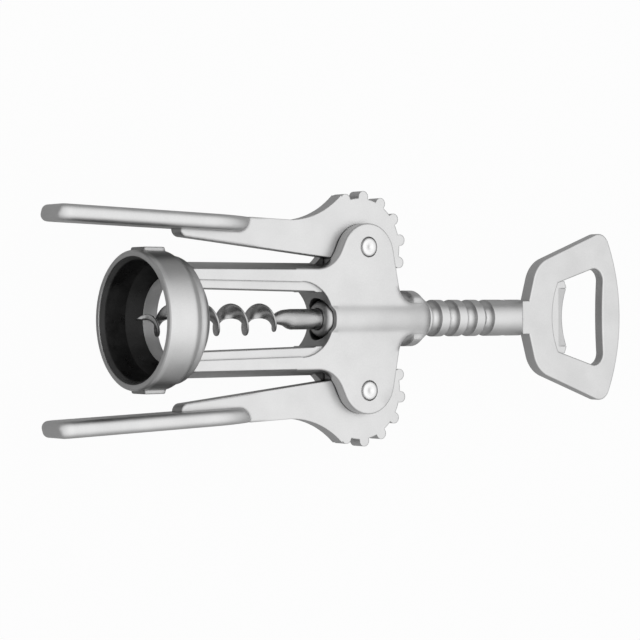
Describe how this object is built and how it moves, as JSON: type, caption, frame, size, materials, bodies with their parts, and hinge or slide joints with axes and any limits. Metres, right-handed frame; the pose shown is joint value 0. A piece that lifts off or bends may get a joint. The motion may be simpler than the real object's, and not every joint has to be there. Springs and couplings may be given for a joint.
{
  "type": "wing corkscrew",
  "caption": "Wing corkscrew: a bell for the bottle's neck, toothed levers on a ring rack, a helical worm and a flat opener head.",
  "frame": {"origin": "centre of the mouth of the bell, on the tool's long axis", "axes": "+X along the worm and spindle from the bell's mouth to the opener head, +Z along the pivot pins out of the front face, +Y towards the left lever. The tool lies flat."},
  "size_m": [0.1998, 0.0716, 0.037],
  "materials": {
    "cast_metal": "satin nickel plate on a zinc casting",
    "liner_plastic": "matt black",
    "worm_steel": "bright plated steel",
    "pin_steel": "turned steel"
  },
  "bodies": {
    "frame": {"frame": "cast_metal", "bell_liner": "liner_plastic", "left_pivot_pin": "pin_steel", "right_pivot_pin": "pin_steel"},
    "left_lever": {"left_lever": "cast_metal"},
    "right_lever": {"right_lever": "cast_metal"},
    "rack": {"ring_rack": "cast_metal"},
    "spindle": {"worm": "worm_steel", "opener_head": "cast_metal", "cross_pin": "pin_steel"}
  },
  "joints": [
    {"name": "left_lever_pivot", "type": "hinge", "parent": "frame", "child": "left_lever", "pos_m": [0.074, 0.02001, 0], "axis": [0, 0, -1], "range_deg": [0, 140]},
    {"name": "right_lever_pivot", "type": "hinge", "parent": "frame", "child": "right_lever", "pos_m": [0.074, -0.02001, 0], "axis": [0, 0, 1], "range_deg": [0, 140]},
    {"name": "rack_slide", "type": "slide", "parent": "frame", "child": "rack", "axis": [-1, 0, 0], "range_m": [0, 0.03593]},
    {"name": "spindle_turn", "type": "hinge", "parent": "rack", "child": "spindle", "pos_m": [0.1, 0, 0], "axis": [-1, 0, 0], "continuous": true}
  ],
  "couplings": [
    {"joint": "right_lever_pivot", "follows": "left_lever_pivot", "ratio": 1},
    {"joint": "rack_slide", "follows": "left_lever_pivot", "m_per_rad": 0.014706}
  ]
}
